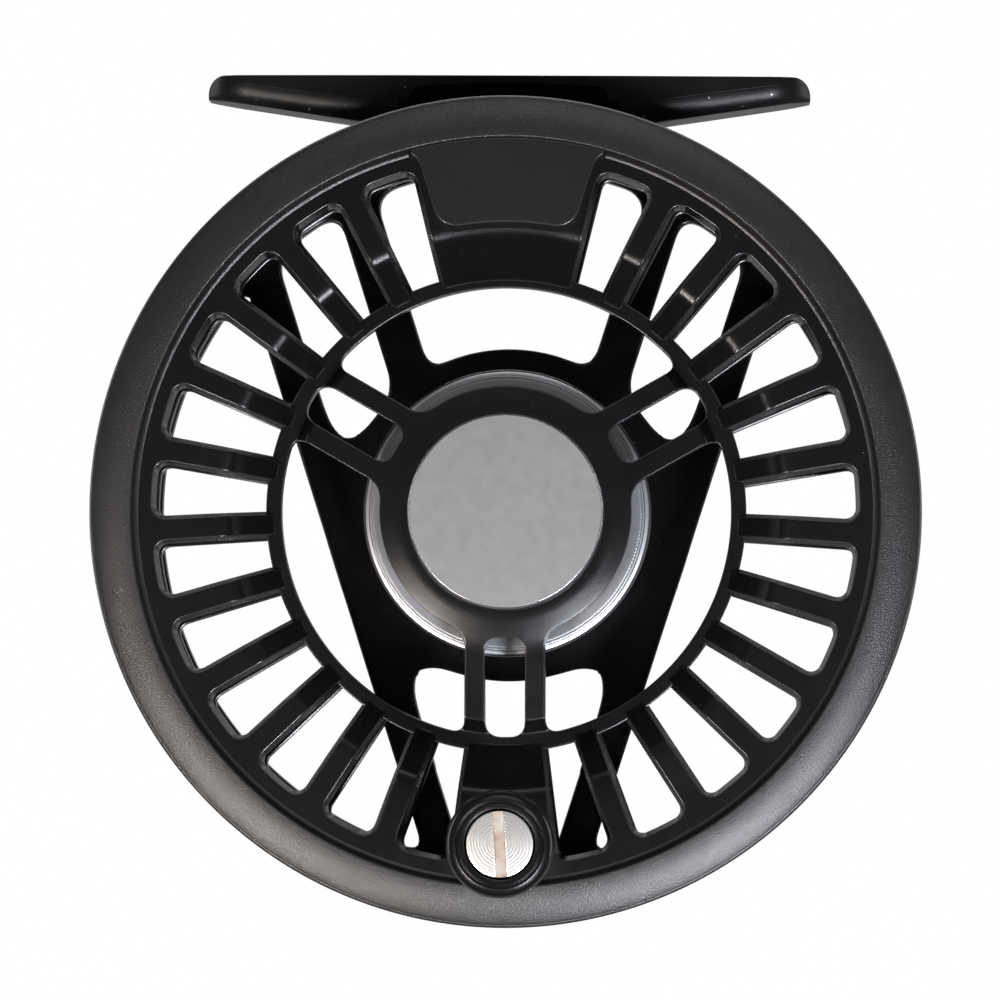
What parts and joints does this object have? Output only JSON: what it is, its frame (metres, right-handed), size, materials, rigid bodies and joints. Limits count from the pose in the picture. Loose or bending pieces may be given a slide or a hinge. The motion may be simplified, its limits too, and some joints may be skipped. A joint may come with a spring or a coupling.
{
  "type": "fly fishing reel",
  "caption": "Large-arbor fly reel: ported black spool with palming rim, skeleton frame, silver sealed disc drag and cap, handle, and foot.",
  "frame": {"origin": "middle of the flat floor of the reel foot's saddle, where the reel meets the rod", "axes": "+Z out of the foot towards the rod, X along the rod, -Y the handle side, +Y the drag knob side; the spool axis is parallel to Y"},
  "size_m": [0.095, 0.0565, 0.0981],
  "materials": {
    "black_anodised": "satin black anodised, edges slightly polished",
    "silver_anodised": "fine satin clear anodised",
    "stainless_steel": "turned stainless steel",
    "carbon_fibre": "woven carbon friction disc",
    "seal_rubber": "matte nitrile rubber",
    "brass": "turned brass"
  },
  "bodies": {
    "frame": {"frame_back_plate": "black_anodised", "frame_front_ring": "black_anodised", "frame_pillar_1": "black_anodised", "frame_pillar_2": "black_anodised", "frame_pillar_3": "black_anodised", "frame_pillar_4": "black_anodised", "frame_foot_bridge": "black_anodised", "reel_foot": "black_anodised", "foot_screw_1": "stainless_steel", "foot_screw_2": "stainless_steel", "spindle": "stainless_steel", "spindle_circlip": "stainless_steel", "front_bearing": "stainless_steel", "rear_bearing": "stainless_steel", "drag_housing": "silver_anodised", "drag_cover": "silver_anodised", "housing_seal": "seal_rubber", "rotor_seal": "seal_rubber", "housing_screw_1": "stainless_steel", "housing_screw_2": "stainless_steel", "housing_screw_3": "stainless_steel", "steel_disc_1": "stainless_steel", "steel_disc_2": "stainless_steel", "pressure_plate": "stainless_steel", "spring_washer_1": "stainless_steel", "spring_washer_2": "stainless_steel", "knob_screw": "stainless_steel", "detent_ball": "stainless_steel", "detent_spring": "stainless_steel", "click_pin": "stainless_steel", "click_spring": "stainless_steel"},
    "rotor": {"drag_rotor": "silver_anodised", "carbon_disc_1": "carbon_fibre", "carbon_disc_2": "carbon_fibre", "carbon_disc_3": "carbon_fibre", "click_gear": "brass"},
    "spool": {"spool_face": "black_anodised", "spool_arbor": "black_anodised", "spool_rear_flange": "black_anodised", "spool_hub": "black_anodised", "roller_clutch": "stainless_steel", "counterweight_slug": "brass", "counterweight_pad": "black_anodised", "handle_screw": "stainless_steel", "handle_sleeve": "brass", "handle_washer": "stainless_steel"},
    "cap_seal": {"cap_seal": "seal_rubber"},
    "release_cap": {"spool_cap": "silver_anodised"},
    "handle": {"handle_knob": "black_anodised"},
    "drag_knob": {"drag_knob": "black_anodised"},
    "push_plate": {"push_plate": "stainless_steel"},
    "click_pawl": {"click_pawl": "stainless_steel"}
  },
  "joints": [
    {"name": "spool_spin", "type": "hinge", "parent": "frame", "child": "spool", "pos_m": [0, 0, -0.0498], "axis": [0, 1, 0], "continuous": true},
    {"name": "rotor_spin", "type": "hinge", "parent": "frame", "child": "rotor", "pos_m": [0, 0, -0.0498], "axis": [0, 1, 0], "continuous": true},
    {"name": "handle_spin", "type": "hinge", "parent": "spool", "child": "handle", "pos_m": [0, -0.0255, -0.0873], "axis": [0, 1, 0], "continuous": true},
    {"name": "cap_lift", "type": "slide", "parent": "spool", "child": "cap_seal", "axis": [0, -1, 0], "range_m": [0, 0.0018]},
    {"name": "cap_turn", "type": "hinge", "parent": "cap_seal", "child": "release_cap", "pos_m": [0, 0, -0.0498], "axis": [0, -1, 0], "range_deg": [0, 1080]},
    {"name": "knob_turn", "type": "hinge", "parent": "frame", "child": "drag_knob", "pos_m": [0, 0, -0.0498], "axis": [0, -1, 0], "range_deg": [0, 330]},
    {"name": "push_slide", "type": "slide", "parent": "frame", "child": "push_plate", "axis": [0, -1, 0], "range_m": [0, 0.00036]},
    {"name": "pawl_swing", "type": "hinge", "parent": "frame", "child": "click_pawl", "pos_m": [-0.01143, -0.0016, -0.0432], "axis": [0, 1, 0], "range_deg": [-8, 8], "stiffness_Nm_per_rad": 0.002}
  ],
  "couplings": [
    {"joint": "rotor_spin", "follows": "spool_spin", "ratio": 1},
    {"joint": "cap_lift", "follows": "cap_turn", "m_per_rad": 0.000095483},
    {"joint": "push_slide", "follows": "knob_turn", "m_per_rad": 0.000060768}
  ]
}
